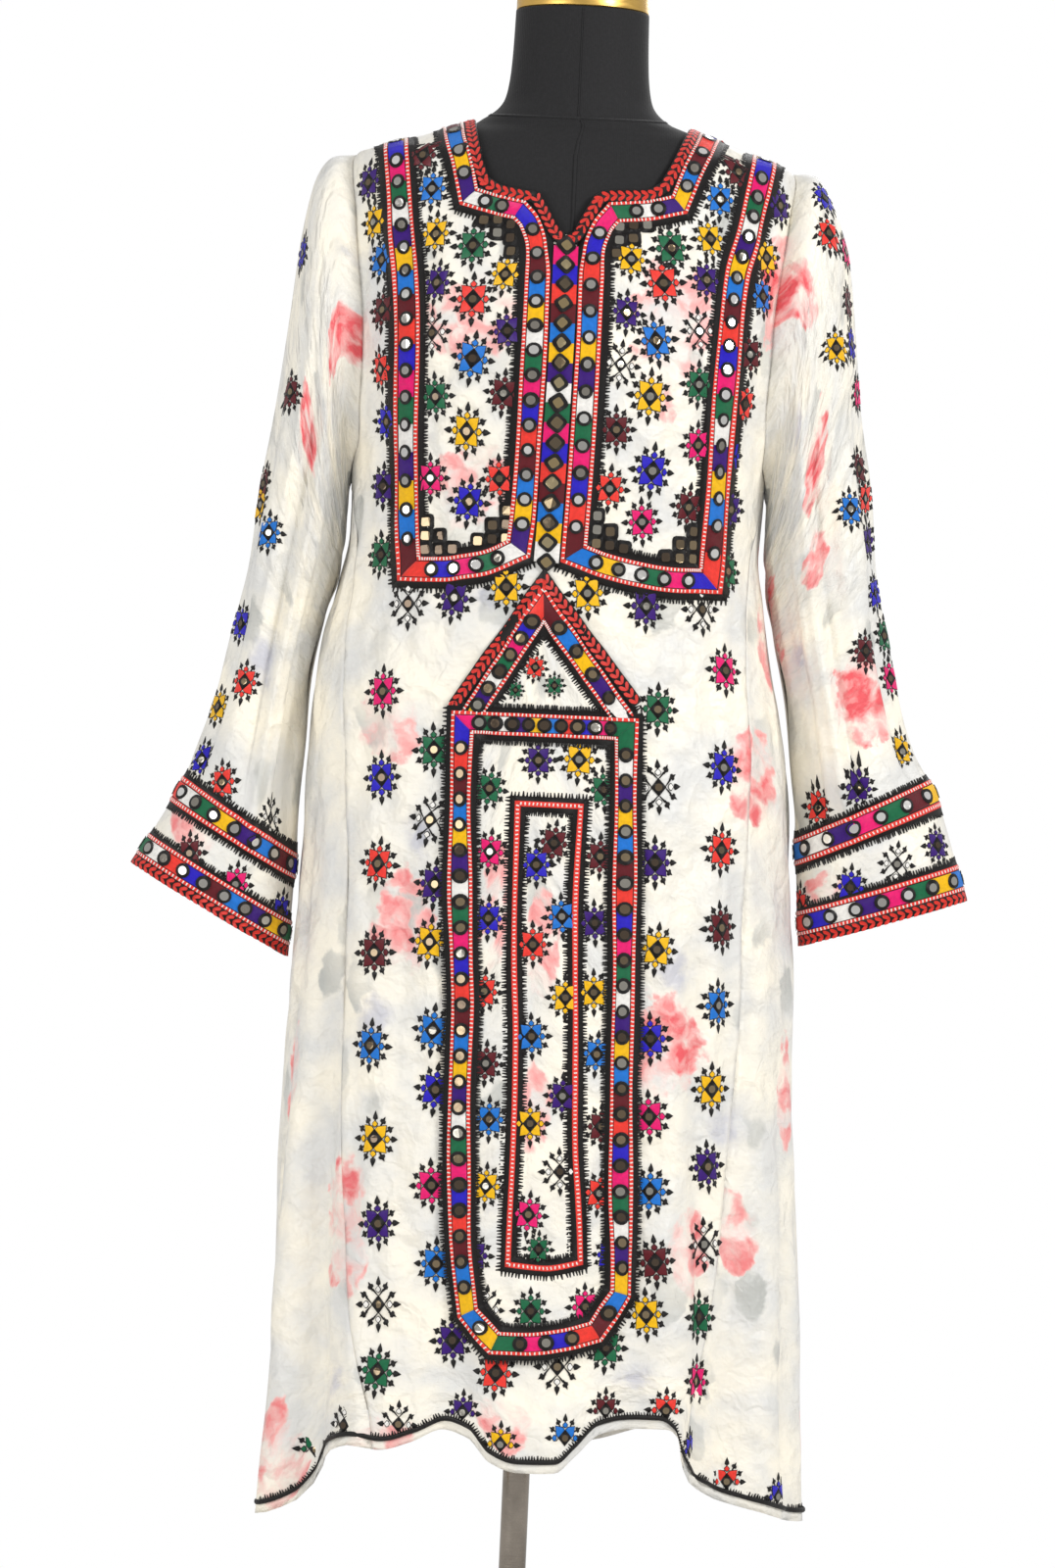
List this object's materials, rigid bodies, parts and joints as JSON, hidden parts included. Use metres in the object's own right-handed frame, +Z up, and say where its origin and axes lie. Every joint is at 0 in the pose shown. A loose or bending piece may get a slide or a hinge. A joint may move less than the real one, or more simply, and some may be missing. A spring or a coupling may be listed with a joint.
{
  "type": "kuchi dress on a dress form with a pole stand",
  "caption": "Long-sleeved A-line silk dress with mirror-work bib, long front pocket panel and flared cuffs, worn on a limbless torso form with a neck cap, pole and round base.",
  "frame": {"origin": "centre of the base's underside, on the floor", "axes": "+Z up; the dress faces -Y; +X is to the right of a person who looks at its front"},
  "size_m": [0.6852, 0.38, 1.5573],
  "materials": {
    "silk": "printed cream silk, soft sheen",
    "embroidery": "satin stitch in many colours with round mirrors",
    "braid": "red and black plaited braid",
    "jersey": "matt black jersey",
    "brass": "polished",
    "steel": "satin plated steel"
  },
  "bodies": {
    "root": {"front_panel": "silk", "back_panel": "silk", "gore_left": "silk", "gore_right": "silk", "sleeve_left": "silk", "sleeve_right": "silk", "pocket_panel": "silk", "bib_band_left": "embroidery", "bib_band_right": "embroidery", "centre_band": "embroidery", "pocket_peak_band": "embroidery", "pocket_frame_band": "embroidery", "pocket_inner_line": "embroidery", "cuff_band_upper_left": "embroidery", "cuff_band_upper_right": "embroidery", "cuff_band_lower_left": "embroidery", "cuff_band_lower_right": "embroidery", "neck_braid": "braid", "pocket_braid": "braid", "cuff_braid_left": "braid", "cuff_braid_right": "braid", "form_torso": "jersey", "neck_cap": "brass", "pole": "steel", "base": "steel"}
  },
  "joints": []
}
